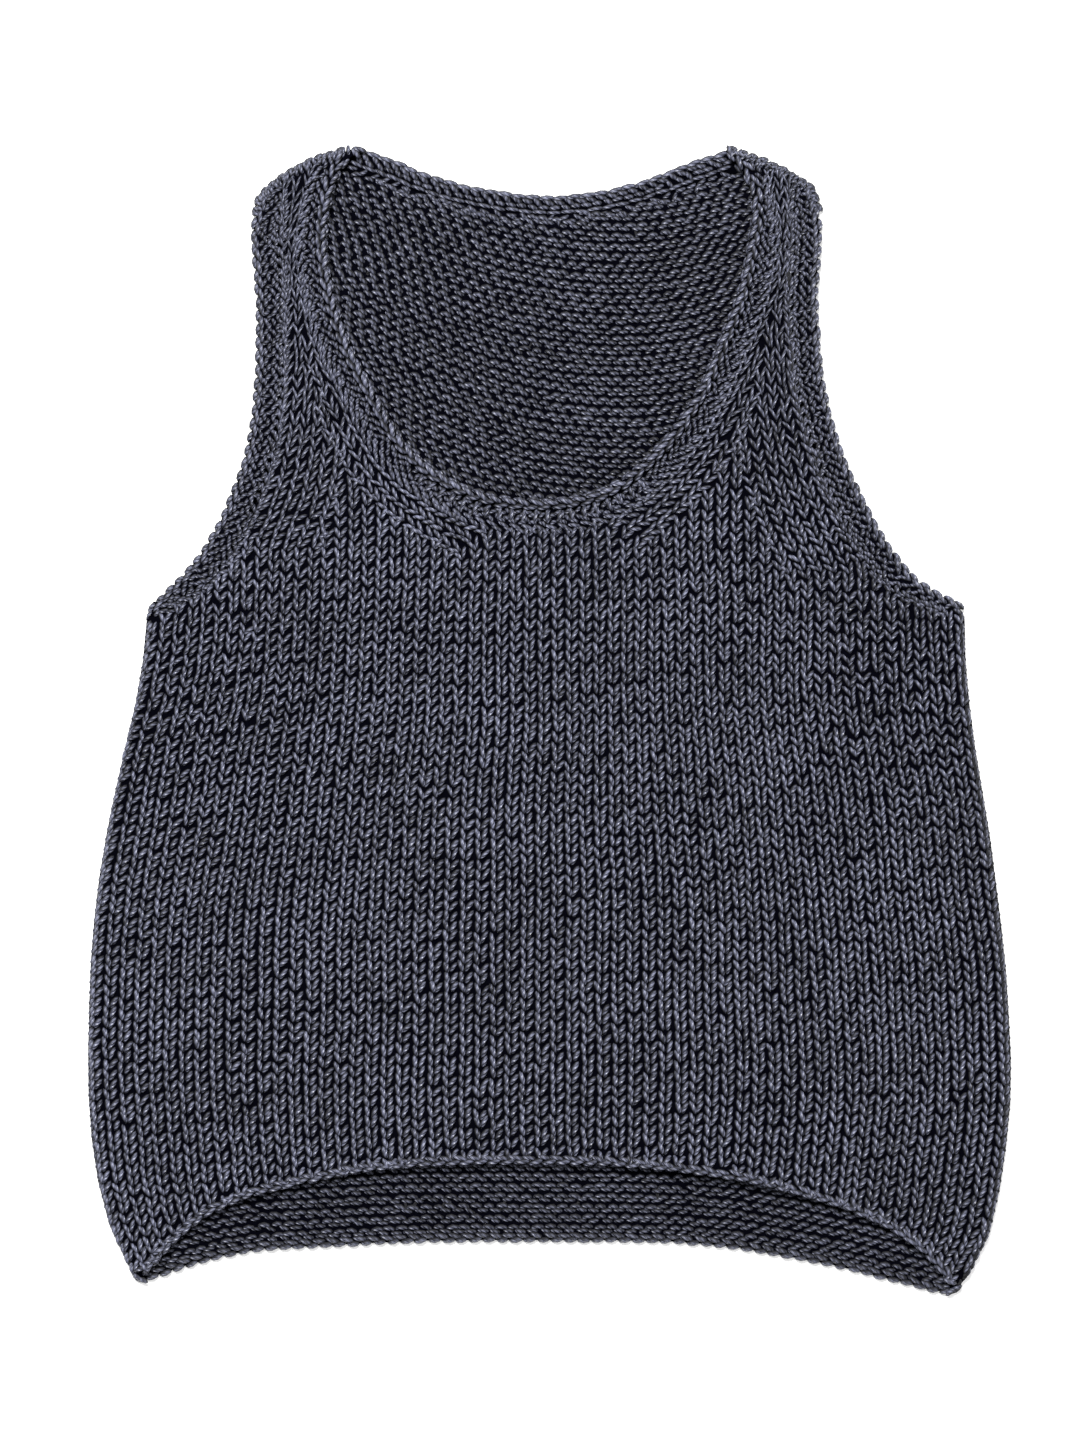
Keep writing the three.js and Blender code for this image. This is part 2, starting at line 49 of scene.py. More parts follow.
# Driving sizes, in millimetres
FOLD = 3.15             # radius of the side folds
FOLD_HEIGHT = 3.15      # height of the fold line, between the two layers
FOLD_REACH = 1.35       # how far round a fold the stitches of one layer go, in radians
UNDERARM_Y = 51.5
SHOULDER_ROLL = 2.4     # how far the cloth rolls at the top of a strap
SHOULDER_START = {"left": 97.0, "right": 86.0}      # where a shoulder begins, from the middle
SHOULDER_END = 152.0
SHOULDER_LOW_Y = 250.0  # all of a shoulder's top lies above this
FRONT_INSET = (1.6, 0.3)    # how deep the cloth's ground lies under its yarn, above and below
PLAIN_INSET = (1.4, 1.2)
JOINED = 0.5            # pieces nearer than this are joined
SEAM_REACH = 0.25       # how far the ground of each reaches into a seam
FAR = 400.0             # outside every outline
ABOVE = 60.0            # clear of every surface

# The knitting, in millimetres and numbers of stitches
WALES = 60              # stitches across one panel
ROW = 5.15              # height of a row on the body
STRAP_ROW = 6.2         # the straps hang longer
STRAP_LEVELS = (60, 120, 160, 200, 240)
STRAP_PITCHES = (6.8, 6.4, 5.6, 5.0, 4.75)      # from wale to wale at each of these levels
STRAP_WIDTHS = (6.9, 6.5, 5.7, 5.1, 4.8)        # width of a stitch there
EDGE_WALES = 6          # wales that follow an armhole
NECK_WALES = 3          # wales that follow the neck
ARMHOLE_JOIN = 158      # the first of them starts this far from the middle
NECK_JOIN = 30
SEAM_PITCH = 6.5        # from wale to wale beside a seam, before they are fitted to a strap
CARRIED_ON = 14.0       # how far a seam's line goes on past the shoulder
PURL_PITCH = 6.2        # stitches of the back, seen from inside
LOWEST_X = 38.0         # where the rows of the back hang lowest
CHAIN_PITCH = 6.9       # stitches of the chains along the neck and the front hem

# The legs of a V
LEG_WIDTH = 0.355       # as a share of the stitch's width
LEG_OFFSET = 0.232      # from the middle of the stitch, as the same share
LEG_LENGTH = 1.45       # in rows
LEG_RISE = 0.17         # the foot of a leg comes out from under the stitch below
LEG_FORMS = {1: (1.05, 3.0, 0.7), -1: (0.85, 1.5, 0.3)}     # depth, height, dip: above and below

# Colours and the twist of the plies
# painted shade on the yarn's flanks and tips, together with its dark plies
YARN_SHADE_AND_DARK_PLY = (0.002, 0.002, 0.0045)
# painted highlight along the top of the yarn, together with its light plies
YARN_HIGHLIGHT_AND_LIGHT_PLY = (0.172, 0.182, 0.261)
# the light end for the back's inside, a copy of the yarn painted in shade
INSIDE_SHADED_LIGHT_PLY = (0.152, 0.161, 0.230)
# painted shade: the near-black colour of the ground seen between the stitches
GROUND_SHADE_COLOUR = (0.0012, 0.0012, 0.0026)
TWIST_ANGLE = 45.0
TWIST_SCALE = (1.65, 0.62, 1.0)

# Camera: straight above, as in the photograph
VIEW_CENTRE = (-3.25, -2.25)    # millimetres
VIEW_LONG_SIDE = 724.0
VEST_MIDDLE = 5.0               # height of the plane that is framed
LENS = 110.0
SENSOR = 36.0

# Lights: place and size in metres, power in watts
SOFT_LIGHT = ((-0.5, 1.5, 2.4), 1.3, 170.0)
FILL_LIGHT = ((1.0, -0.4, 2.6), 2.0, 22.0)
WORLD_LIGHT = 0.14

SIDES = (("left", -1.0), ("right", 1.0))


def unit(vectors):
    """Vectors at length one."""
    return vectors / np.maximum(np.linalg.norm(vectors, axis=-1, keepdims=True), 1e-9)


def at_z(places, z):
    """Points of a plan at a height."""
    return np.column_stack([places, np.full(len(places), z)])


class Surface:
    """A node's surface, in millimetres, that rays are sent to."""

    def __init__(self, node):
        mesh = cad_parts[node].data
        corners = [vertex.co / MM for vertex in mesh.vertices]
        faces = [tuple(face.vertices) for face in mesh.polygons]
        self.tree = BVHTree.FromPolygons(corners, faces)

    def meet(self, starts, directions):
        """Where each ray first meets the surface, with the normal there. A miss is nan."""
        places = np.full(starts.shape, np.nan)
        normals = np.full(starts.shape, np.nan)
        directions = np.broadcast_to(directions, starts.shape)
        for i, (start, direction) in enumerate(zip(starts, directions)):
            place, normal, _, _ = self.tree.ray_cast(Vector(start), Vector(direction))
            if place is not None:
                places[i] = place
                normals[i] = normal
        return places, normals

    def seat(self, plan):
        """The places of a plan on the upper surface, with the normals there."""
        return self.meet(at_z(plan, ABOVE), np.array([0.0, 0.0, -1.0]))


SURFACES = {name: Surface(name) for name in sorted(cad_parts)}
FRONT = SURFACES["front_panel"]
BACK = SURFACES["back_panel"]
NECKBAND = SURFACES["neckband"]
ARMHOLE_BANDS = {side: SURFACES["armhole_band_" + side] for side, _ in SIDES}
EVERY = list(SURFACES.values())


class Uppermost:
    """All the surfaces together, met from above."""

    @staticmethod
    def seat(plan):
        seats = [surface.seat(plan) for surface in EVERY]
        heights = np.array([np.nan_to_num(places[:, 2], nan=-1.0) for places, _ in seats])
        chosen = heights.argmax(axis=0)
        places = np.array([places for places, _ in seats])[chosen, np.arange(len(plan))]
        normals = np.array([normals for _, normals in seats])[chosen, np.arange(len(plan))]
        return places, normals


def to_left(ways):
    """Directions on the plan turned to the left by a right angle."""
    return np.column_stack([-ways[:, 1], ways[:, 0]])


def smoothed(values, passes):
    """A line of points or numbers without the corners of the faceted solids; its ends stay."""
    for _ in range(passes):
        inner = 0.25 * values[:-2] + 0.5 * values[1:-1] + 0.25 * values[2:]
        values = np.concatenate([values[:1], inner, values[-1:]])
    return values


class Path:
    """A line on the plan, read by the distance along it in millimetres."""

    def __init__(self, points, passes=8, beyond=0.0):
        points = points[~np.isnan(points).any(axis=1)]
        points = smoothed(self.spread(points), passes)
        if beyond:
            start, end = unit(points[0] - points[4]), unit(points[-1] - points[-5])
            points = np.vstack([points[:1] + start * beyond, points, points[-1:] + end * beyond])
        self.points = self.spread(points)
        steps = np.linalg.norm(np.diff(self.points, axis=0), axis=1)
        self.marks = np.concatenate([[0.0], np.cumsum(steps)])
        self.length = self.marks[-1]
        self.tangents = unit(np.gradient(self.points, axis=0))

    @staticmethod
    def spread(points):
        """The same line with its points about a millimetre apart."""
        steps = np.linalg.norm(np.diff(points, axis=0), axis=1)
        marks = np.concatenate([[0.0], np.cumsum(steps)])
        count = max(3, int(marks[-1]))
        wanted = np.linspace(0.0, marks[-1], count)
        return np.column_stack([np.interp(wanted, marks, points[:, i]) for i in range(2)])

    def at(self, marks, offset=0.0):
        """Places and directions at some distances, moved to the left of the way by an offset."""
        places = np.column_stack([np.interp(marks, self.marks, self.points[:, i]) for i in range(2)])
        ways = [np.interp(marks, self.marks, self.tangents[:, i]) for i in range(2)]
        ways = unit(np.column_stack(ways))
        return places + to_left(ways) * np.reshape(offset, (-1, 1)), ways


def edge_along_y(surface, rows, height, towards):
    """The outline met from the side, row by row: its place on X."""
    count = len(rows)
    starts = np.column_stack([np.full(count, -FAR * towards), rows, np.full(count, height)])
    return surface.meet(starts, np.array([towards, 0.0, 0.0]))[0][:, 0]


def edge_along_x(surface, columns, height, towards):
    """The outline met from above or below on the plan, column by column: its place on Y."""
    count = len(columns)
    starts = np.column_stack([columns, np.full(count, -FAR * towards), np.full(count, height)])
    return surface.meet(starts, np.array([0.0, towards, 0.0]))[0][:, 1]


def edge_round(surface, centre, angles, height):
    """The outline met from a point inside it."""
    starts = at_z(np.tile(centre, (len(angles), 1)), height)
    ways = np.column_stack([np.cos(angles), np.sin(angles), np.zeros(len(angles))])
    return surface.meet(starts, ways)[0][:, :2]


def side_line(sign):
    """The side outline from the hem's corner up. Under the corner a ray meets the other side."""
    x = edge_along_y(FRONT, SIDE_Y, 3.7, -sign)
    met = x * sign > 150.0
    return smoothed(np.interp(SIDE_Y, SIDE_Y[met], x[met]), 6), SIDE_Y[met][0]


# Outlines of the vest, read off the frame
SIDE_Y = np.arange(-287.0, UNDERARM_Y, 1.5)
SIDE_X, SIDE_START = {}, {}
for side_name, side_sign in SIDES:
    SIDE_X[side_name], SIDE_START[side_name] = side_line(side_sign)
HEM_X = np.arange(-206.0, 206.5, 2.0)
FRONT_HEM_Y = np.fmin(edge_along_x(FRONT, HEM_X, 3.9, 1), edge_along_x(FRONT, HEM_X, 5.8, 1))
FRONT_HEM_Y = smoothed(FRONT_HEM_Y, 3)
BACK_HEM_Y = smoothed(edge_along_x(BACK, HEM_X, 2.4, 1), 3)
ARMHOLE_Y = np.arange(52.5, 268.0, 1.5)
ARMHOLE_SEAM = {}
for side_name, side_sign in SIDES:
    ARMHOLE_SEAM[side_name] = smoothed(edge_along_y(FRONT, ARMHOLE_Y, 4.0, -side_sign), 6)
NECK_CENTRE = np.array([-5.0, 200.0])
NECK_ANGLES = np.radians(np.arange(143.0, 400.0, 1.5))
NECK_SEAM = Path(edge_round(FRONT, NECK_CENTRE, NECK_ANGLES, 5.7), passes=14)
NECK_FREE_ANGLES = np.radians(np.arange(141.0, 402.0, 1.5))
NECK_FREE = Path(edge_round(NECKBAND, NECK_CENTRE, NECK_FREE_ANGLES, 5.6), passes=14, beyond=5.0)
BACK_NECK_X = np.arange(-96.0, 90.5, 2.0)
BACK_NECK_Y = smoothed(edge_along_x(NECKBAND, BACK_NECK_X, 1.2, -1), 4)
BACK_NECK_FREE = Path(np.column_stack([BACK_NECK_X, BACK_NECK_Y]), beyond=3.0)


def shoulder_top(low, high):
    """The top of a strap, as its place on Y at each place on X."""
    x = np.arange(low, high, 1.0)
    y = edge_along_x(FRONT, x, 4.3, -1)
    met = y > SHOULDER_LOW_Y
    return x[met], smoothed(y[met], 4)


SHOULDER_TOP = {"left": shoulder_top(-150.0, -100.0), "right": shoulder_top(95.0, 150.0)}


def neck_sides():
    """The neck seam's place on X at each height, on the left and on the right."""
    points = NECK_SEAM.points
    lowest = int(np.argmin(points[:, 1]))
    down, up = points[: lowest + 1][::-1], points[lowest:]
    return {"left": down, "right": up}


NECK_SIDES = neck_sides()
NECK_BOTTOM_Y = NECK_SEAM.points[:, 1].min()


def hem_y(x):
    """The front hem's place on Y."""
    return np.interp(x, HEM_X, FRONT_HEM_Y)


def wander(places, reach, phase):
    """A slow unevenness over the plan, between about -1 and 1."""
    x, y = places[..., 0] / reach, places[..., 1] / reach
    waves = np.sin(1.3 * x + 0.7 * y + phase) + np.sin(-0.8 * x + 1.9 * y + 2.1 * phase)
    waves = waves + np.sin(2.6 * x - 0.6 * y + 3.7 * phase) + np.sin(0.5 * x + 3.1 * y + 5.3 * phase)
    return waves / 2.6


class Yarn:
    """Short lengths of yarn, gathered and then made as one mesh. Each is a closed drop with
    rings between two tips. It may be bowed sideways, and it dips at its ends."""

    def __init__(self, rings, sides):
        self.sides = sides
        self.shares = np.array([-1.0, *np.linspace(-0.68, 0.68, rings), 1.0])
        self.lengths = []
        self.tints = []

    def add(self, centres, along, up, *, length, width, height, dip, tint, bow=0.0):
        """Drops at some centres. A centre that is not known makes none."""
        keep = ~np.isnan(centres).any(axis=1)
        count = int(keep.sum())
        if count == 0:
            return
        whole = len(keep)

        def each(value):
            return np.broadcast_to(np.asarray(value, float), (whole,))[keep][:, None, None]

        along, up = along[keep], unit(up[keep])
        along = unit(along - up * (along * up).sum(axis=1, keepdims=True))
        across = np.cross(up, along)
        shares = self.shares[None, :, None]
        fat = np.clip(1.0 - shares ** 2, 0.0, 1.0) ** 0.5
        spine = centres[keep][:, None, :] + along[:, None, :] * (shares * each(length) * 0.5)
        spine = spine + across[:, None, :] * (each(bow) * (0.5 - shares ** 2))
        spine = spine - up[:, None, :] * (each(dip) * shares ** 2)
        turn = 2 * np.pi * (np.arange(self.sides) + 0.5) / self.sides - 0.5 * np.pi
        side_part = (np.cos(turn)[None, None, :] * fat * each(width) * 0.5)[..., None]
        up_part = (np.sin(turn)[None, None, :] * fat * each(height) * 0.5)[..., None]
        rings = spine[:, :, None, :] + side_part * across[:, None, None, :]
        rings = rings + up_part * up[:, None, None, :]
        inner = rings[:, 1:-1].reshape(count, -1, 3)
        tips = spine[:, [0, -1], :]
        self.lengths.append(np.concatenate([inner, tips], axis=1))
        self.tints.append(np.broadcast_to(np.asarray(tint, float), (whole,))[keep])

    def faces(self):
        """Corner numbers of one drop, face by face, the size of each face, and where each
        corner lies on the yarn."""
        rings, sides = len(self.shares) - 2, self.sides
        first, last = rings * sides, rings * sides + 1
        corners, sizes, laid = [], [], []
        for side in range(sides):
            after = (side + 1) % sides
            around, around_after = side / sides, (side + 1) / sides
            for ring in range(rings - 1):
                low, high = ring * sides, (ring + 1) * sides
                corners += [low + side, high + side, high + after, low + after]
                start, end = self.shares[ring + 1], self.shares[ring + 2]
                laid += [(around, start), (around, end), (around_after, end), (around_after, start)]
                sizes.append(4)
            corners += [first, side, after]
            laid += [(around, -1.0), (around, self.shares[1]), (around_after, self.shares[1])]
            sizes.append(3)
            top = (rings - 1) * sides
            corners += [last, top + after, top + side]
            laid += [(around, 1.0), (around_after, self.shares[-2]), (around, self.shares[-2])]
            sizes.append(3)
        return np.array(corners), np.array(sizes), np.array(laid)

    def make(self, name, material):
        """All the drops as one piece of the scene."""
        drops = np.concatenate(self.lengths)
        tints = np.concatenate(self.tints)
        corners, sizes, laid = self.faces()
        count, size = drops.shape[0], drops.shape[1]
        numbers = (corners[None, :] + (np.arange(count) * size)[:, None]).ravel()
        totals = np.tile(sizes, count)
        mesh = bpy.data.meshes.new(name)
        mesh.vertices.add(count * size)
        mesh.vertices.foreach_set("co", (drops * MM).astype(np.float32).ravel())
        mesh.loops.add(len(numbers))
        mesh.loops.foreach_set("vertex_index", numbers.astype(np.int32))
        mesh.polygons.add(len(totals))
        starts = np.concatenate([[0], np.cumsum(totals)[:-1]])
        mesh.polygons.foreach_set("loop_start", starts.astype(np.int32))
        mesh.polygons.foreach_set("loop_total", totals.astype(np.int32))
        mesh.polygons.foreach_set("use_smooth", np.ones(len(totals), bool))
        mesh.update()
        layer = mesh.uv_layers.new(name="yarn")
        layer.data.foreach_set("uv", np.tile(laid, (count, 1)).astype(np.float32).ravel())
        tint = mesh.attributes.new("tint", "FLOAT", "POINT")
        tint.data.foreach_set("value", np.repeat(tints, size).astype(np.float32))
        mesh.validate()
        piece = bpy.data.objects.new(name, mesh)
        bpy.context.scene.collection.objects.link(piece)
        mesh.materials.append(material)
        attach(piece, "root")
        return piece


def node(tree, kind, **values):
    """A node of a material, with its settings."""
    made = tree.nodes.new(kind)
    for key, value in values.items():
        setattr(made, key, value)
    return made


def maths(tree, operation, first, second=None, third=None, clamp=False):
    """A sum in a material. Each part is a number or another node's output."""
    made = node(tree, "ShaderNodeMath", operation=operation, use_clamp=clamp)
    for socket, value in zip(made.inputs, (first, second, third)):
        if value is None:
            continue
        if isinstance(value, (int, float)):
            socket.default_value = value
        else:
            tree.links.new(value, socket)
    return made.outputs["Value"]


def yarn_material(name, dark, light, roughness):
    """Plied yarn: strands that twist along it, a painted highlight along the top of each length,
    painted shade down its flanks and towards its tips where it goes under its neighbours, and
    unevenly dyed plies."""
    material = bpy.data.materials.new(name)
    material.use_nodes = True
    tree = material.node_tree
    shader = tree.nodes["Principled BSDF"]
    shader.inputs["Specular IOR Level"].default_value = 0.55

    place = node(tree, "ShaderNodeUVMap", uv_map="yarn")
    tint = node(tree, "ShaderNodeAttribute", attribute_name="tint")
    parts = node(tree, "ShaderNodeSeparateXYZ")
    tree.links.new(place.outputs["UV"], parts.inputs["Vector"])
    twist = node(tree, "ShaderNodeMapping")
    twist.inputs["Rotation"].default_value = (0.0, 0.0, math.radians(TWIST_ANGLE))
    twist.inputs["Scale"].default_value = TWIST_SCALE
    strands = node(tree, "ShaderNodeTexWave", wave_type="BANDS", bands_direction="X")
    strands.inputs["Scale"].default_value = 1.0
    strands.inputs["Distortion"].default_value = 1.2
    strands.inputs["Detail"].default_value = 2.0
    tree.links.new(place.outputs["UV"], twist.inputs["Vector"])
    tree.links.new(twist.outputs["Vector"], strands.inputs["Vector"])
    phase = maths(tree, "MULTIPLY", tint.outputs["Fac"], 300.0)
    tree.links.new(phase, strands.inputs["Phase Offset"])

    # painted highlight along the top of the yarn, fading into painted shade down its flanks
    off_crest = maths(tree, "ABSOLUTE", maths(tree, "SUBTRACT", parts.outputs["X"], 0.5))
    painted_crest_highlight = maths(tree, "MULTIPLY_ADD", off_crest, -6.0, 1.4, clamp=True)
    # painted shade towards the tips, where the yarn goes under its neighbours
    end = maths(tree, "POWER", maths(tree, "ABSOLUTE", parts.outputs["Y"]), 4.0)
    body = maths(tree, "MULTIPLY_ADD", end, -1.0, 1.0, clamp=True)
    lit = maths(tree, "MULTIPLY", painted_crest_highlight, body)
    # the tint adds random tone and, on the back's inside, painted shade
    dye_and_painted_shade = maths(tree, "MULTIPLY_ADD", strands.outputs["Fac"], 0.52, tint.outputs["Fac"])
    shade = maths(tree, "MULTIPLY", lit, maths(tree, "ADD", dye_and_painted_shade, 0.12), clamp=True)
    colours = node(tree, "ShaderNodeMix", data_type="RGBA")
    colours.inputs["A"].default_value = (*dark, 1.0)
    colours.inputs["B"].default_value = (*light, 1.0)
    tree.links.new(shade, colours.inputs["Factor"])
    tree.links.new(colours.outputs["Result"], shader.inputs["Base Color"])
    rough = maths(tree, "MULTIPLY_ADD", lit, roughness - 0.9, 0.9)
    tree.links.new(rough, shader.inputs["Roughness"])

    bump = node(tree, "ShaderNodeBump")
    bump.inputs["Strength"].default_value = 0.85
    bump.inputs["Distance"].default_value = 0.0006
    tree.links.new(strands.outputs["Fac"], bump.inputs["Height"])
    tree.links.new(bump.outputs["Normal"], shader.inputs["Normal"])
    return material


def ground_shade_material(name, colour):
    """The shaded yarn deep between the stitches."""
    material = bpy.data.materials.new(name)
    material.use_nodes = True
    tree = material.node_tree
    shader = tree.nodes["Principled BSDF"]
    shader.inputs["Roughness"].default_value = 0.9
    shader.inputs["Specular IOR Level"].default_value = 0.0
    loops = node(tree, "ShaderNodeTexNoise")
    loops.inputs["Scale"].default_value = 420.0
    loops.inputs["Detail"].default_value = 3.0
    colours = node(tree, "ShaderNodeMix", data_type="RGBA")
    colours.inputs["A"].default_value = (*[0.5 * value for value in colour], 1.0)
    colours.inputs["B"].default_value = (*[1.6 * value for value in colour], 1.0)
    tree.links.new(loops.outputs["Fac"], colours.inputs["Factor"])
    tree.links.new(colours.outputs["Result"], shader.inputs["Base Color"])
    return material


KNIT = yarn_material("yarn", YARN_SHADE_AND_DARK_PLY, YARN_HIGHLIGHT_AND_LIGHT_PLY, 0.34)
# the back's inside: a copy of the yarn painted in shade
KNIT_INSIDE_SHADED = yarn_material("yarn_inside_shaded", YARN_SHADE_AND_DARK_PLY, INSIDE_SHADED_LIGHT_PLY, 0.36)
GROUND_SHADE = ground_shade_material("yarn_ground_painted_shade", GROUND_SHADE_COLOUR)


def shell(name):
    """The ground of a piece of cloth: its solid's own form, a little inside it. Where it is
    joined to another piece it keeps its full size, and the two meet."""
    panels = ("front_panel", "back_panel")
    bands = ("neckband", "armhole_band_left", "armhole_band_right")
    others = [SURFACES[other] for other in (bands if name in panels else panels)]
    form = bmesh.new()
    form.from_mesh(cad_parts[name].data)
    bmesh.ops.remove_doubles(form, verts=form.verts, dist=0.02 * MM)
    form.normal_update()
    above, below = FRONT_INSET if name == "front_panel" else PLAIN_INSET
    moves = []
    for vertex in form.verts:
        nearest = [other.tree.find_nearest(vertex.co / MM, 2.0)[3] for other in others]
        joined = any(distance is not None and distance < JOINED for distance in nearest)
        depth = above if vertex.normal.z > -0.1 else below
        move = vertex.normal * -depth
        if joined:
            sideways = Vector((vertex.normal.x, vertex.normal.y, 0.0)) * SEAM_REACH
            move = sideways + Vector((0.0, 0.0, move.z))
        moves.append(move)
    for vertex, move in zip(form.verts, moves):
        vertex.co += move * MM
    mesh = bpy.data.meshes.new(name + "_cloth")
    form.to_mesh(mesh)
    form.free()
    mesh.polygons.foreach_set("use_smooth", np.ones(len(mesh.polygons), bool))
    piece = bpy.data.objects.new(name + "_cloth", mesh)
    bpy.context.scene.collection.objects.link(piece)
    # the ground is coloured near black: painted shade deep between the stitches
    mesh.materials.append(GROUND_SHADE)
    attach(piece, "root")
    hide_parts(name)
    return piece


def around_fold(places, side=1):
    """Places on a layer, given by distances along the cloth, rolled over the side folds.
    Returns the places on the surface and its normals."""
    x, y = places[:, 0], places[:, 1]
    left, right = -np.interp(y, SIDE_Y, SIDE_X["left"]), np.interp(y, SIDE_Y, SIDE_X["right"])
    flat = np.where(y < UNDERARM_Y, np.where(x < 0, left, right) - FOLD, FAR)
    angle = np.clip((np.abs(x) - flat) / FOLD, 0.0, 1.5)
    sign = np.sign(x)
    top = np.where(x < 0, np.interp(x, *SHOULDER_TOP["left"]), np.interp(x, *SHOULDER_TOP["right"]))
    ridge = np.where((y > 220.0) & (side > 0), top - SHOULDER_ROLL, FAR)
    over = np.clip((y - ridge) / SHOULDER_ROLL, 0.0, 1.5)
    over = np.where(over > 1.45, np.nan, over)
    rise = side * np.cos(angle) * np.cos(over)
    normals = np.column_stack([sign * np.sin(angle), np.sin(over), rise])
    fold = np.column_stack([sign * np.minimum(np.abs(x), flat), np.minimum(y, ridge)])
    fold = at_z(fold, FOLD_HEIGHT)
    surface = FRONT if side > 0 else BACK
    known = ~np.isnan(normals).any(axis=1)
    hits, met = np.full(fold.shape, np.nan), np.full(fold.shape, np.nan)
    hits[known], met[known] = surface.meet(fold[known] + normals[known] * ABOVE, -normals[known])
    rolled = (angle > 0.0) | (over > 0.0)
    if side < 0:    # yarn on the steep facets of an edge would reach below the floor
        hits[~rolled & (met[:, 2] > -0.8)] = np.nan
    met[rolled] = normals[rolled]
    return hits, met


def unrolled_half(y, side):
    """Half the width of a layer along the cloth, from the middle to where its stitches end."""
    outline = np.abs(np.interp(np.minimum(y, UNDERARM_Y), SIDE_Y, SIDE_X[side]))
    return outline - FOLD + FOLD * FOLD_REACH


LEVELS = np.arange(-290.0, 290.0, 1.0)
STRAP_PITCH = np.interp(LEVELS, STRAP_LEVELS, STRAP_PITCHES)


def rising(points):
    """The part of a line that climbs without turning back, as its place on X at each level."""
    keep = np.concatenate([[True], np.diff(np.maximum.accumulate(points[:, 1])) > 0])
    return np.interp(LEVELS, points[keep, 1], points[keep, 0])


def carried_on(points):
    """A line with a last point added further on the same way."""
    end = points[-1:] + unit(points[-1:] - points[-7:-6]) * CARRIED_ON
    return np.vstack([points, end])


def beside(path, offset, sign):
    """A line beside a seam, as its place on X at each level, counted outwards from the middle."""
    points, _ = path.at(path.marks, offset)
    return rising(points * np.array([sign, 1.0]))


def under(points, x):
    """The height of a seam over each place on X."""
    order = np.argsort(points[:, 0])
    return np.interp(x, points[order, 0], points[order, 1])


def half_lines(side, sign):
    """Wale lines of one half of the front, with X counted outwards from the middle. Wales at the
    edges follow the armhole and the neck, the others run straight up and end at them."""
    over_arm = LEVELS > UNDERARM_Y
    over_neck = LEVELS > NECK_BOTTOM_Y - 25.0
    armhole = np.column_stack([ARMHOLE_SEAM[side], ARMHOLE_Y])
    arm_path = Path(carried_on(armhole[~np.isnan(armhole).any(axis=1)]))
    neck_path = Path(carried_on(NECK_SIDES[side]))
    arm, collar = beside(arm_path, 0.0, sign), beside(neck_path, 0.0, sign)
    strap = np.where(LEVELS > NECK_BOTTOM_Y, arm - collar, FAR)
    across = np.clip(np.floor(strap / STRAP_PITCH + 0.5), 3, EDGE_WALES + NECK_WALES)
    by_neck_count = np.clip(np.round(0.36 * across), 1, NECK_WALES)
    by_arm_count = across - by_neck_count
    fitted = np.minimum(strap / across, STRAP_PITCH) / STRAP_PITCH
    half = unrolled_half(LEVELS, side)
    columns = [(i + 0.5) / (WALES / 2) * half for i in range(WALES // 2)]
    foot = int(np.searchsorted(LEVELS, UNDERARM_Y))
    outer = [i for i, column in enumerate(columns) if column[foot] < ARMHOLE_JOIN][-EDGE_WALES:][::-1]
    inner = [i for i, column in enumerate(columns) if column[foot] > NECK_JOIN][:NECK_WALES]
    for rank, i in enumerate(outer):
        line = beside(arm_path, sign * (rank + 0.5) * SEAM_PITCH, sign)
        line = arm + (line - arm) * STRAP_PITCH / SEAM_PITCH * fitted
        columns[i] = np.where(over_arm, np.minimum(columns[i], line), columns[i])
    for rank, i in enumerate(inner):
        line = beside(neck_path, -sign * (rank + 0.5) * SEAM_PITCH, sign)
        line = collar + (line - collar) * STRAP_PITCH / SEAM_PITCH * fitted
        columns[i] = np.where(over_neck, np.maximum(columns[i], line), columns[i])
    last_outer, last_inner = columns[outer[-1]], columns[inner[-1]]
    low_arm = np.column_stack([arm, LEVELS])[over_arm & (LEVELS < 120.0)]
    low_collar = (neck_path.points * np.array([sign, 1.0]))[neck_path.points[:, 1] < 150.0]
    for i, x in enumerate(columns):
        alive = (LEVELS > hem_y(sign * x) + 3.0) & (LEVELS < 288.0)
        if i in outer:
            alive &= outer.index(i) < by_arm_count
        elif i in inner:
            alive &= inner.index(i) < by_neck_count
        elif i > outer[0]:
            alive &= LEVELS < under(low_arm, x) + 4.5
        elif i < inner[0]:
            alive &= LEVELS < under(low_collar, x) + 3.0
        else:
            alive &= ~over_arm | (x < last_outer - 0.38 * STRAP_PITCH)
            alive &= ~over_neck | (x > last_inner + 0.38 * STRAP_PITCH)
        yield sign * x, alive


def wale_lines():
    """Each wale of the front, from the hem up: X at each level, and where it is knitted."""
    return [line for side, sign in SIDES for line in half_lines(side, sign)]


def stitch_places():
    """Middle, direction, width and height of every stitch of the front, by distance along
    the cloth."""
    found = []
    rows = np.interp(LEVELS, [90, 170], [ROW, STRAP_ROW])
    for x, alive in wale_lines():
        width = np.interp(LEVELS, STRAP_LEVELS, STRAP_WIDTHS)
        half = unrolled_half(LEVELS, "left" if x[0] < 0 else "right")
        width = np.where(LEVELS < 60, 2 * half / WALES, width)
        x = smoothed(x, 10)
        steps = np.hypot(np.gradient(x), 1.0) / rows
        marks = np.cumsum(steps)
        marks -= np.interp(0.0, LEVELS, marks) + rng.normal(0.0, 0.13)
        wanted = np.arange(math.ceil(marks[0]), math.floor(marks[-1]))
        level = np.interp(wanted, marks, LEVELS)
        keep = np.interp(level, LEVELS, alive.astype(float)) > 0.5
        level = level[keep]
        slope = np.interp(level, LEVELS, np.gradient(x, LEVELS))
        ways = unit(np.column_stack([slope, np.ones(len(level))]))
        places = np.column_stack([np.interp(level, LEVELS, x), level])
        found.append(np.column_stack([
            places, ways, np.interp(level, LEVELS, width), np.interp(level, LEVELS, rows),
        ]))
    return np.concatenate(found)


def turned(ways, angles):
    """Directions on the plan turned to the left by an angle."""
    c, s = np.cos(angles), np.sin(angles)
    return np.column_stack([c * ways[:, 0] - s * ways[:, 1], s * ways[:, 0] + c * ways[:, 1]])


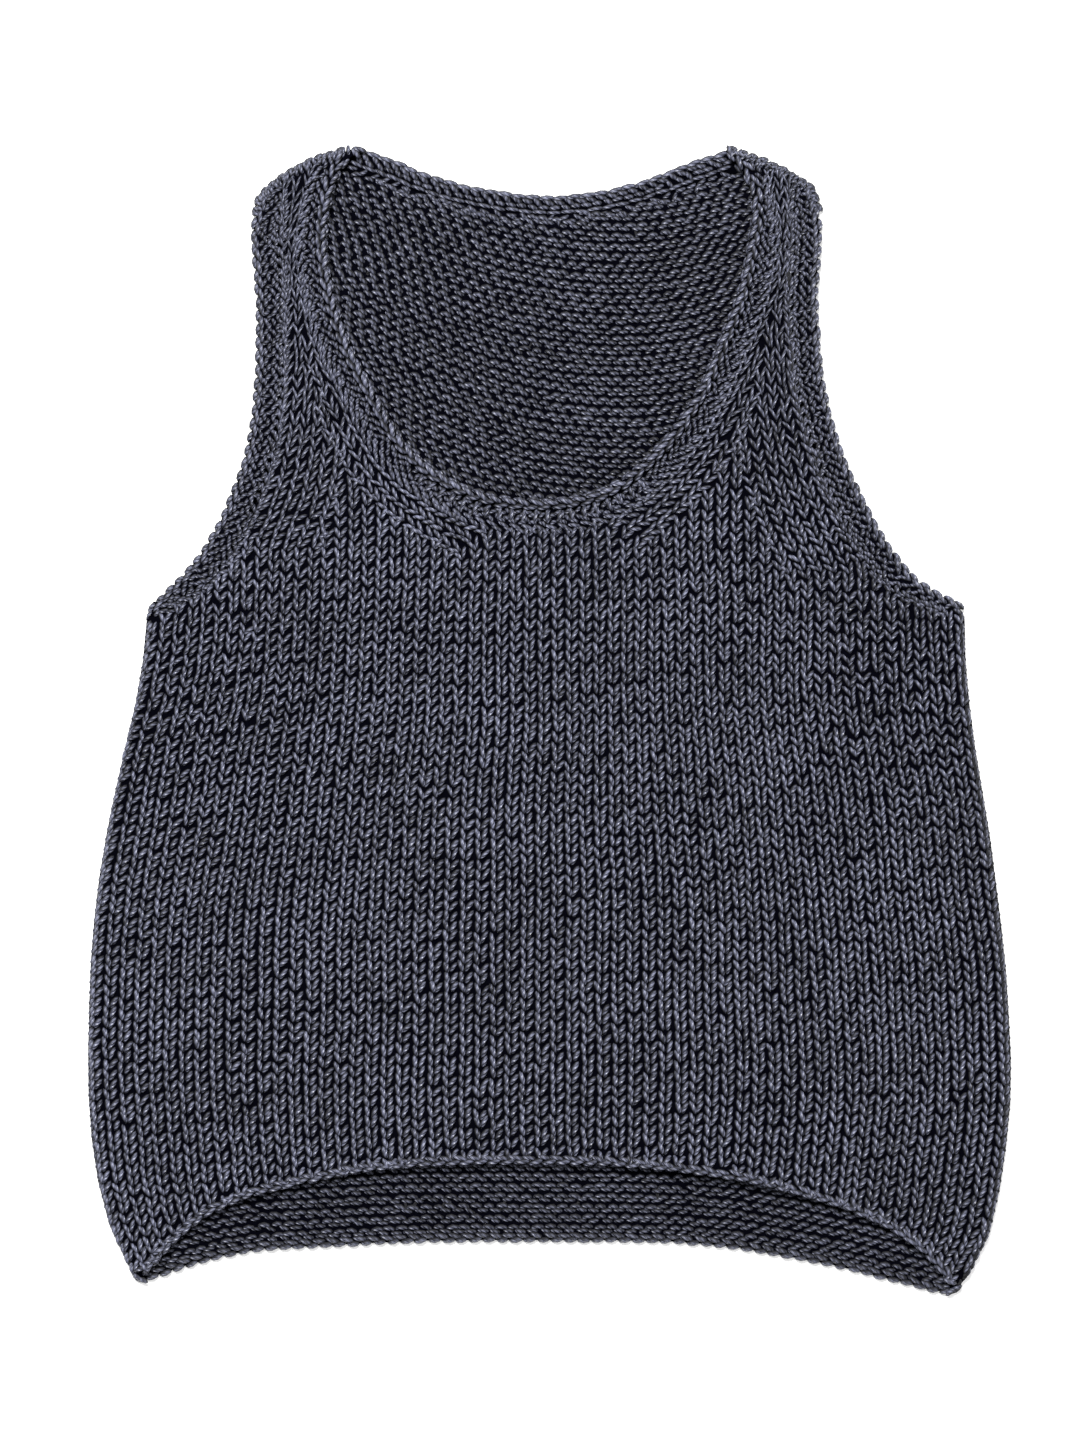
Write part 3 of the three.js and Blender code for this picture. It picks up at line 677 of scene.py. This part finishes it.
def v_stitches(yarn, stitches, surface_side):
    """Both legs of each V. The left legs stand steeper than the right ones, more so on the
    left, and by the armholes the stitches crowd and lie less evenly."""
    places, ways = stitches[:, :2].copy(), stitches[:, 2:4]
    width, rows = stitches[:, 4], stitches[:, 5]
    count = len(stitches)
    places[:, 0] += 0.7 * wander(places, 38.0, 0.4) + rng.normal(0.0, 0.16, count)
    places[:, 1] += 0.8 * wander(places, 55.0, 1.9) + rng.normal(0.0, 0.25, count)
    lefts = to_left(ways)
    depth, height, dip = LEG_FORMS[surface_side]
    uneven = np.interp(places[:, 0], [-150, 20, 120], [1.0, 0.7, 0.0])
    stretched = np.interp(places[:, 1], [100, 170], [0.0, 1.0])
    patchy = 0.07 * wander(places, 30.0, 2.7) + 0.05 * wander(places, 11.0, 4.1)
    crowded = np.interp(np.abs(places[:, 0]), [105, 150], [0.0, 1.0])
    crowded = crowded * np.interp(places[:, 1], [-80, 10], [0.0, 1.0]) * (surface_side > 0)
    for hand in (1.0, -1.0):
        tilt = np.radians(np.where(hand > 0, 20.0 - 6.0 * uneven, 22.0 + 8.0 * uneven))
        tilt = tilt * (1.0 - 0.28 * stretched) + np.radians(rng.normal(0.0, 5.5 + 4.5 * crowded))
        offset = LEG_OFFSET * width + rng.normal(0.0, 0.12, count)
        middle = places + lefts * (hand * offset)[:, None]
        middle = middle + ways * rng.normal(0.0, 0.28 + 0.25 * crowded)[:, None]
        hits, normals = around_fold(middle, surface_side)
        fatness = rng.normal(1.0, 0.06, count)
        way = turned(ways, hand * tilt)
        along = np.column_stack([way, np.full(count, LEG_RISE * surface_side)])
        steep = np.hypot(normals[:, 0], normals[:, 1]) > 0.05
        off_surface = (along[steep] * normals[steep]).sum(axis=1)
        along[steep] = along[steep] - normals[steep] * off_surface[:, None]
        yarn.add(
            hits - normals * (depth + rng.normal(0.0, 0.10, count))[:, None],
            along,
            normals,
            length=(LEG_LENGTH + 0.1 * stretched) * rows * rng.normal(1.0, 0.06, count),
            width=(LEG_WIDTH - 0.045 * stretched - 0.02 * crowded) * width * fatness,
            height=height,
            bow=hand * -0.25,
            dip=dip,
            tint=0.2 - 0.06 * stretched - 0.03 * crowded + patchy + rng.normal(0.0, 0.11, count),
        )


def seen_from_above(surface, plan, spread):
    """Which places of a plan show a surface from above, or nearly do."""
    seen = np.zeros(len(plan), bool)
    for offset in ((0, 0), (spread, 0), (-spread, 0), (0, spread), (0, -spread)):
        moved = plan + np.array(offset, float)
        tops = [other.seat(moved)[0][:, 2] for other in EVERY]
        mine = surface.seat(moved)[0][:, 2]
        highest = np.nanmax(np.nan_to_num(np.array(tops), nan=-1.0), axis=0)
        seen |= np.nan_to_num(mine, nan=-9.0) >= highest - 0.01
    return seen & ~np.isnan(surface.seat(plan)[0][:, 2])


def purl_bumps(yarn, surface, plan, ways, tint):
    """The bump of each purl stitch: a cap bowed upwards, and the lower loop between two caps.
    Each form has its place along and across the row, lean, depth, length, width, bow, and the painted
    shade that lowers its tint."""
    count = len(plan)
    cap = (0.0, 0.19, -4.0, 0.9, 1.12, 0.53, 0.9, 0.0)
    # the loop's last number is painted shade: sunk between the caps, it is coloured as if in their
    # shade
    loop = (0.53, -0.15, -11.0, 1.2, 1.1, 0.46, 0.0, 0.05)
    for along_row, across_row, lean, depth, length, width, bow, painted_shade in (cap, loop):
        middle = plan + ways * (along_row * PURL_PITCH) + to_left(ways) * (across_row * ROW)
        middle = middle + rng.normal(0.0, 0.22, (count, 2))
        hits, normals = surface.seat(middle)
        normals = unit(normals + np.array([0.0, 0.0, 1.5]))
        leans = lean * np.tanh((40.0 - middle[:, 0]) / 40.0) + rng.normal(0.0, 7.0, count)
        way = turned(ways, np.radians(leans))
        sink = depth + rng.normal(0.0, 0.12, count)
        yarn.add(
            hits - normals * sink[:, None],
            np.column_stack([way, np.zeros(count)]),
            normals,
            length=length * PURL_PITCH * rng.normal(1.0, 0.07, count),
            width=width * ROW * rng.normal(1.0, 0.06, count),
            height=2.6,
            bow=bow,
            dip=1.0,
            tint=tint - painted_shade + rng.normal(0.0, 0.09, count) + 0.06 * wander(middle, 24.0, 1.1),
        )


def strand(yarn, surface, path, offset, *, pitch, length, width, lean=0.0, spread=4.0, depth=0.6,
           shift=0.0, bow=0.0, tint=0.2, height_from=None):
    """A line of long loops along an edge, each leaning the same way. Over a seam they take the
    height of the surface beside it."""
    count = int((path.length - 2.0) / pitch)
    marks = 1.0 + pitch * (np.arange(count) + 0.5 + shift)
    marks = marks[marks < path.length - 1.0]
    plan, ways = path.at(marks, offset)
    plan = plan + rng.normal(0.0, 0.15, plan.shape)
    hits, normals = surface.seat(plan)
    if height_from is not None:
        beside_it, _ = surface.seat(path.at(marks, height_from)[0])
        hits = np.column_stack([plan, beside_it[:, 2]])
        normals = np.tile([0.0, 0.0, 1.0], (len(plan), 1))
    normals = unit(normals + np.array([0.0, 0.0, 1.0]))
    way = turned(ways, np.radians(lean + rng.normal(0.0, spread, len(plan))))
    yarn.add(
        hits - normals * depth,
        np.column_stack([way, np.zeros(len(plan))]),
        normals,
        length=length * rng.normal(1.0, 0.05, len(plan)),
        width=width * rng.normal(1.0, 0.05, len(plan)),
        height=2.8,
        bow=bow,
        dip=0.8,
        tint=tint + rng.normal(0.0, 0.08, len(plan)),
    )


def bump_lines(yarn, surface, path, offsets, pitch, depth=0.9):
    """Lines of small bumps along an edge, each line shifted by half a stitch."""
    for i, offset in enumerate(offsets):
        strand(
            yarn, surface, path, offset, pitch=pitch, length=pitch, width=2.3,
            lean=rng.choice([-16.0, 14.0]), spread=28.0, depth=depth, shift=0.5 * (i % 2),
            bow=0.6 if i % 2 else -0.6, tint=0.05,
        )


def split(stitches, levels):
    """The stitches between each two levels."""
    edges = [-FAR, *levels, FAR]
    for low, high in zip(edges[:-1], edges[1:]):
        yield stitches[(stitches[:, 1] >= low) & (stitches[:, 1] < high)]


def side_wale(yarn, side, sign):
    """The wale that lies on the fold itself, seen edge on."""
    knitted = SIDE_Y >= SIDE_START[side]
    path = Path(np.column_stack([SIDE_X[side], SIDE_Y])[knitted])
    marks = np.arange(3.0, path.length - 1.0, 0.5 * ROW)
    count = len(marks)
    upper = np.arange(count) % 2 == 0
    plan, ways = path.at(marks, sign * np.where(upper, 1.1, 2.1))
    heights = FOLD_HEIGHT + np.where(upper, 0.75, -0.75) + rng.normal(0.0, 0.1, count)
    outwards = np.column_stack([ways[:, 1] * sign, -ways[:, 0] * sign, np.zeros(count)])
    yarn.add(
        np.column_stack([plan, heights]),
        np.column_stack([ways, np.where(upper, 0.35, -0.35)]),
        outwards,
        length=1.35 * ROW * rng.normal(1.0, 0.05, count),
        width=2.5,
        height=2.8,
        dip=1.1,
        tint=0.04 + rng.normal(0.0, 0.08, count),
    )


def shoulder_loops(yarn, side, sign):
    """The loops that go over the top of a shoulder, to the back."""
    x = np.sort(np.arange(SHOULDER_START[side], SHOULDER_END, 1.0) * sign)
    tops = np.array([edge_along_x(surface, x, 4.6, -1) for surface in EVERY])
    y = np.nan_to_num(tops, nan=-1.0).max(axis=0)
    met = y > SHOULDER_LOW_Y
    top = Path(np.column_stack([x, y])[met], passes=12)
    strand(yarn, Uppermost, top, -1.3, pitch=2.6, length=6.2, width=2.4, lean=84.0, spread=10.0,
           depth=1.5, tint=0.14, height_from=-4.5)
    strand(yarn, Uppermost, top, 0.6, pitch=5.4, length=6.0, width=3.0, lean=8.0, spread=8.0,
           depth=3.2, tint=0.1, height_from=-4.5)


def hem_corner(yarn, side, sign):
    """The few loops that close the corner where the side meets the hem."""
    corner = (np.interp(SIDE_START[side], SIDE_Y, SIDE_X[side]), SIDE_START[side])
    inwards, upwards, heights = np.array([
        [0.6, 2.2, 3.6, 1.0],
        [1.2, 0.0, -0.8, -0.2],
        [4.2, 3.4, 3.8, 2.2],
    ])
    places = np.column_stack([corner[0] - sign * inwards, corner[1] + upwards, heights])
    count = len(places)
    leans = np.radians(rng.normal(35.0, 20.0, count))
    along = np.column_stack([-sign * np.cos(leans), -np.sin(leans), np.zeros(count)])
    up = np.tile([0.0, 0.0, 1.0], (count, 1))
    yarn.add(places, along, up, length=6.4, width=2.8, height=2.8, dip=0.8, tint=0.12)


def build_front():
    """The front's stitches in three parts, and its sides, hem and shoulders."""
    pieces = []
    stitches = stitch_places()
    for name, part in zip(("hem", "waist", "chest"), split(stitches, (-110.0, 15.0))):
        yarn = Yarn(4, 6)
        v_stitches(yarn, part, 1)
        pieces.append(yarn.make("front_stitches_" + name, KNIT))
    edge = Yarn(3, 6)
    for side, sign in SIDES:
        side_wale(edge, side, sign)
    hem = Path(np.column_stack([HEM_X, FRONT_HEM_Y]))
    strand(edge, FRONT, hem, 3.9, pitch=CHAIN_PITCH, length=8.4, width=2.7, lean=-14.0)
    strand(edge, FRONT, hem, 1.7, pitch=CHAIN_PITCH, length=8.4, width=2.9, lean=12.0, shift=0.5,
           tint=0.22)
    strand(edge, FRONT, hem, 0.5, pitch=CHAIN_PITCH, length=6.4, width=2.4, depth=1.6, shift=0.2,
           tint=0.05)
    for side, sign in SIDES:
        hem_corner(edge, side, sign)
        shoulder_loops(edge, side, sign)
    pieces.append(edge.make("front_edges", KNIT))
    return pieces


def shaded(plan):
    """How much the rolled edge of the neck shades the back beside it, most on the right."""
    reach = np.linalg.norm(plan[:, None, :] - NECK_FREE.points[None, ::3, :], axis=2).min(axis=1)
    return np.interp(plan[:, 0], [-60.0, 60.0], [0.08, 0.26]) * np.exp(-(reach / 5.5) ** 2)


def back_rows():
    """Purl stitches of the back that may show inside the neck, and under the front hem."""
    inside, low = [], []
    for level in np.arange(30.0, 300.0, ROW):
        x = np.arange(-130.0, 130.0, PURL_PITCH) + PURL_PITCH * rng.random()
        bend = np.where(x < LOWEST_X, 0.0021, 0.0036)
        sag = bend * (x - LOWEST_X) ** 2
        ways = unit(np.column_stack([np.ones(len(x)), 2 * bend * (x - LOWEST_X)]))
        inside.append(np.column_stack([x, level + sag, ways]))
    hem = Path(np.column_stack([HEM_X, BACK_HEM_Y]))
    for offset in np.arange(6.5, 62.0, ROW):
        plan, ways = hem.at(np.arange(4.0, hem.length - 4.0, PURL_PITCH), offset)
        low.append(np.column_stack([plan, ways]))
    return np.concatenate(inside), np.concatenate(low), hem


def outside_places():
    """Middle, direction, width and height of the stitches of the back's outside."""
    found = []
    for level in np.arange(-280.0, 284.0, ROW):
        reach = unrolled_half(level, "right") - 3.0
        x = (np.arange(-WALES // 2, WALES // 2) + 0.5) * 2 * reach / WALES
        x = x[level > np.interp(x, HEM_X, BACK_HEM_Y) + 6.0]
        plan = np.column_stack([x, np.full(len(x), level)])
        size = np.tile([0.0, 1.0, 2 * reach / WALES, ROW], (len(x), 1))
        found.append(np.column_stack([plan, size]))
    return np.concatenate(found)


def build_back():
    """The back's purl side where it shows, its hem, and its outside in two parts."""
    inside, low, hem = back_rows()
    yarn = Yarn(3, 5)
    for rows, spread in ((inside, 9.0), (low, 7.0)):
        rows = rows[seen_from_above(BACK, rows[:, :2], spread)]
        plan = rows[:, :2]
        # shaded() lowers the tint: painted shadow of the neck's rolled edge on the back's inside
        purl_bumps(yarn, BACK, plan, rows[:, 2:4], 0.14 - shaded(plan))
    strand(yarn, BACK, hem, 3.6, pitch=6.8, length=7.8, width=2.8, lean=-12.0, depth=0.8, tint=0.12)
    strand(yarn, BACK, hem, 1.1, pitch=6.8, length=7.0, width=3.2, lean=8.0, depth=0.9, shift=0.5,
           tint=0.18)
    pieces = [yarn.make("back_stitches_inside", KNIT_INSIDE_SHADED)]
    for name, part in zip(("low", "high"), split(outside_places(), (-20.0,))):
        outside = Yarn(2, 4)
        v_stitches(outside, part, -1)
        pieces.append(outside.make("back_stitches_outside_" + name, KNIT))
    return pieces


def neck_columns(yarn, free):
    """The ribs between the neck's chain and its seam, at the bottom of the neck."""
    marks = np.arange(4.0, free.length, 5.6)
    plan, ways = free.at(marks, -9.0)
    low = np.abs(ways[:, 0]) > 0.75
    plan, ways, count = plan[low], ways[low], int(low.sum())
    hits, _ = NECKBAND.seat(plan)
    across = turned(ways, np.radians(90.0 + rng.normal(0.0, 7.0, count)))
    yarn.add(
        hits - np.array([0.0, 0.0, 0.35]),
        np.column_stack([across, np.zeros(count)]),
        np.tile([0.0, 0.0, 1.0], (count, 1)),
        length=8.6 * rng.normal(1.0, 0.06, count),
        width=2.6,
        height=2.6,
        dip=0.5,
        tint=0.08 + rng.normal(0.0, 0.08, count),
    )


def build_neckband():
    """The chain and bumps of the neck's front, its seam, and the chain and bumps of its back."""
    yarn = Yarn(3, 6)
    free, back = NECK_FREE, BACK_NECK_FREE
    bump_lines(yarn, NECKBAND, free, (-6.8, -8.6, -10.4, -12.0), 4.7, depth=0.8)
    neck_columns(yarn, free)
    strand(yarn, NECKBAND, free, -4.8, pitch=CHAIN_PITCH, length=8.8, width=2.9, lean=16.0,
           spread=6.0, depth=0.5)
    strand(yarn, NECKBAND, free, -2.0, pitch=CHAIN_PITCH, length=8.8, width=3.0, lean=-17.0,
           spread=6.0, depth=0.5, shift=0.5)
    strand(yarn, NECKBAND, free, -0.3, pitch=CHAIN_PITCH, length=7.0, width=2.4, depth=1.0,
           shift=0.2, tint=0.05)
    strand(yarn, FRONT, NECK_SEAM, 0.7, pitch=6.0, length=7.2, width=2.4, lean=-20.0, depth=0.3,
           height_from=-3.0)
    strand(yarn, FRONT, NECK_SEAM, -1.2, pitch=6.0, length=6.6, width=2.2, lean=-24.0, shift=0.5,
           tint=0.14, height_from=-3.0)
    strand(yarn, NECKBAND, back, -1.1, pitch=CHAIN_PITCH, length=9.2, width=3.0, lean=4.0,
           depth=0.9, tint=0.16)
    strand(yarn, NECKBAND, back, -3.7, pitch=5.2, length=6.8, width=2.8, lean=-32.0, spread=13.0,
           depth=0.8, tint=0.12)
    strand(yarn, NECKBAND, back, -6.0, pitch=5.2, length=6.0, width=2.7, lean=-18.0, spread=20.0,
           depth=0.8, shift=0.5, tint=0.1)
    strand(yarn, NECKBAND, back, -8.6, pitch=6.6, length=8.6, width=2.3, lean=-3.0, shift=0.2,
           tint=0.16)
    bump_lines(yarn, NECKBAND, back, (-11.0, -13.4, -15.8), 6.0)
    bump_lines(yarn, BACK, back, (-11.2, -13.6), 6.2)
    return [yarn.make("neckband_stitches", KNIT)]


def build_armhole(side, sign):
    """The bumps and the bound-off edge of an armhole band, and the loops along its seam."""
    yarn = Yarn(3, 6)
    surface = ARMHOLE_BANDS[side]
    rows = np.arange(61.0, 262.0, 1.5)
    edge = smoothed(edge_along_y(surface, rows, 4.9, -sign), 8)
    free = Path(np.column_stack([edge, rows]), beyond=14.0)
    seam = Path(np.column_stack([ARMHOLE_SEAM[side], ARMHOLE_Y]))
    bump_lines(yarn, surface, free, [sign * d for d in (4.9, 6.9, 8.9, 10.9, 12.6)], 4.9)
    strand(yarn, surface, free, sign * 2.9, pitch=6.7, length=8.2, width=2.6, lean=-12.0 * sign,
           depth=0.8, tint=0.12)
    strand(yarn, surface, free, sign * 0.8, pitch=6.7, length=6.8, width=3.3, lean=-6.0, depth=1.4,
           shift=0.5, tint=0.08)
    strand(yarn, FRONT, seam, sign * 0.4, pitch=5.4, length=6.6, width=2.5, lean=-20.0 * sign,
           spread=12.0, depth=0.8, tint=0.06, height_from=sign * 3.0)
    strand(yarn, FRONT, seam, sign * 2.4, pitch=5.4, length=6.2, width=2.3, lean=20.0 * sign,
           spread=12.0, depth=1.2, shift=0.5, tint=0.06, height_from=sign * 4.0)
    return [yarn.make("armhole_stitches_" + side, KNIT)]


def build_camera():
    data = bpy.data.cameras.new("camera")
    data.lens = LENS
    data.sensor_width = SENSOR
    data.clip_end = 50.0
    camera = bpy.data.objects.new("camera", data)
    height = LENS / SENSOR * VIEW_LONG_SIDE + VEST_MIDDLE
    camera.location = (VIEW_CENTRE[0] * MM, VIEW_CENTRE[1] * MM, height * MM)
    bpy.context.scene.collection.objects.link(camera)
    bpy.context.scene.camera = camera


def area_light(name, place, size, power):
    """A square light that points at the middle of the vest."""
    data = bpy.data.lights.new(name, "AREA")
    data.shape = "SQUARE"
    data.size = size
    data.energy = power
    light = bpy.data.objects.new(name, data)
    light.location = place
    light.rotation_euler = (Vector((0, 0, 0)) - Vector(place)).to_track_quat("-Z", "Y").to_euler()
    bpy.context.scene.collection.objects.link(light)


def build_studio():
    """A white floor, two soft lights from above and an even surrounding."""
    floor_mesh = bpy.data.meshes.new("floor")
    reach = 6.0
    low = -0.2 * MM
    corners = [(-reach, -reach, low), (reach, -reach, low), (reach, reach, low), (-reach, reach, low)]
    floor_mesh.from_pydata(corners, [], [(0, 1, 2, 3)])
    floor = bpy.data.objects.new("floor", floor_mesh)
    bpy.context.scene.collection.objects.link(floor)
    paper = bpy.data.materials.new("floor_paper")
    paper.use_nodes = True
    shader = paper.node_tree.nodes["Principled BSDF"]
    shader.inputs["Base Color"].default_value = (0.9, 0.9, 0.9, 1.0)
    shader.inputs["Roughness"].default_value = 0.95
    shader.inputs["Specular IOR Level"].default_value = 0.0
    shader.inputs["Emission Color"].default_value = (1.0, 1.0, 1.0, 1.0)
    shader.inputs["Emission Strength"].default_value = 0.45
    floor_mesh.materials.append(paper)
    area_light("soft_light", *SOFT_LIGHT)
    area_light("fill_light", *FILL_LIGHT)
    world = bpy.data.worlds.new("studio")
    world.use_nodes = True
    surrounding = world.node_tree.nodes["Background"]
    surrounding.inputs["Color"].default_value = (1.0, 1.0, 1.0, 1.0)
    surrounding.inputs["Strength"].default_value = WORLD_LIGHT
    bpy.context.scene.world = world
    view = bpy.context.scene.view_settings
    view.view_transform = "Standard"
    view.look = "None"


def main():
    build_camera()
    build_studio()
    front = shell("front_panel")
    back = shell("back_panel")
    neck = shell("neckband")
    arms = {side: shell("armhole_band_" + side) for side, _ in SIDES}
    front_pieces = build_front()
    back_pieces = build_back()
    neck_pieces = build_neckband()
    arm_pieces = {side: build_armhole(side, sign) for side, sign in SIDES}


main()
